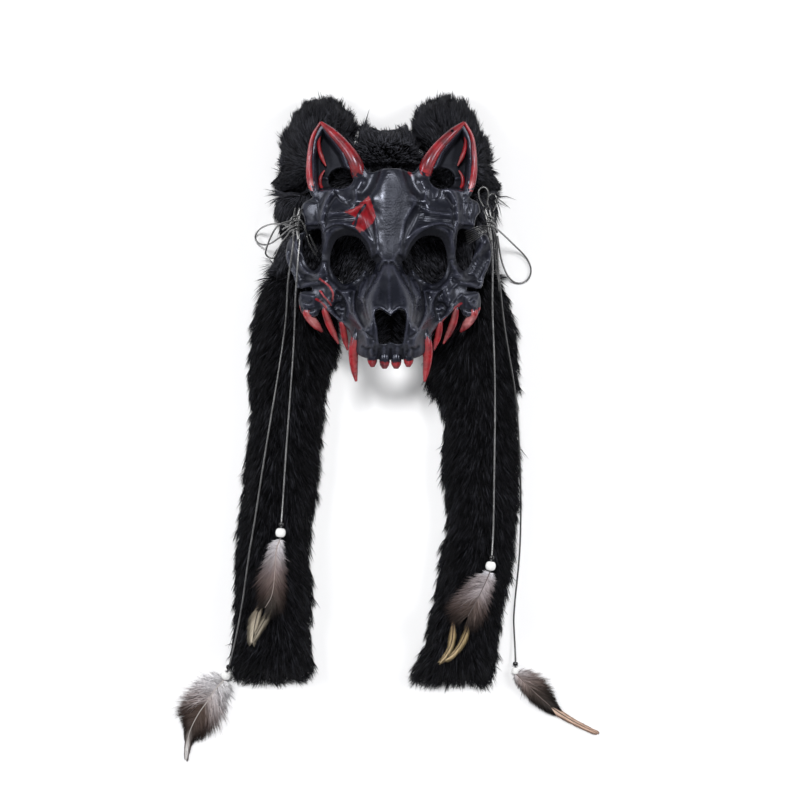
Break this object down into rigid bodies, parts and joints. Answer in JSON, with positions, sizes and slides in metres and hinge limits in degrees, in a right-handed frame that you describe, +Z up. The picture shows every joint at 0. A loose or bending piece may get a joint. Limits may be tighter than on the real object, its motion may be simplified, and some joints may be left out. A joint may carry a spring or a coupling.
{
  "type": "wolf mask",
  "caption": "Moulded wolf-skull half mask laced to a long-pile fur hood with plush ears and long lappets, with beads and feathers on cord tails, lying face up.",
  "frame": {"origin": "point of the table below the mask's centre line at eye level, on the hood's flat underside", "axes": "+X to the viewer's right, +Y from the teeth towards the ears' tips, +Z up from the table, out of the mask's face"},
  "size_m": [0.387, 0.6103, 0.1227],
  "materials": {
    "mask_moulding": "satin bluish black with red paint on the teeth, fangs, ear rims and cheek ridges",
    "fur": "long-pile imitation fur",
    "cord": "waxed, shiny",
    "dark_bead": "gloss",
    "white_bead": "gloss",
    "pale_feather": "downy feather",
    "brown_feather": "feather vane",
    "olive_feather": "feather vane"
  },
  "bodies": {
    "root": {"skull_mask": "mask_moulding", "fur_hood": "fur", "fur_ear_left": "fur", "fur_ear_right": "fur", "fur_lappet_left": "fur", "fur_lappet_right": "fur", "lashing_left": "cord", "lashing_right": "cord", "bow_loop_left_outer": "cord", "bow_loop_left_inner": "cord", "bow_loop_right": "cord", "loop_right_upper": "cord", "loop_right_lower": "cord", "cord_tail_left_short": "cord", "cord_tail_left_long": "cord", "cord_tail_right_short": "cord", "cord_tail_right_long": "cord", "dark_bead_left_short": "dark_bead", "dark_bead_left_long": "dark_bead", "dark_bead_right_short": "dark_bead", "dark_bead_right_long": "dark_bead", "white_bead_left_short": "white_bead", "white_bead_left_long": "white_bead", "white_bead_right_short": "white_bead", "white_bead_right_long": "white_bead", "feather_left_short": "pale_feather", "feather_left_short_tip": "olive_feather", "feather_left_long": "pale_feather", "feather_left_long_inner": "brown_feather", "feather_right_short": "pale_feather", "feather_right_short_tip_outer": "olive_feather", "feather_right_short_tip_inner": "olive_feather", "feather_right_long": "brown_feather", "feather_right_long_tip": "pale_feather"}
  },
  "joints": []
}
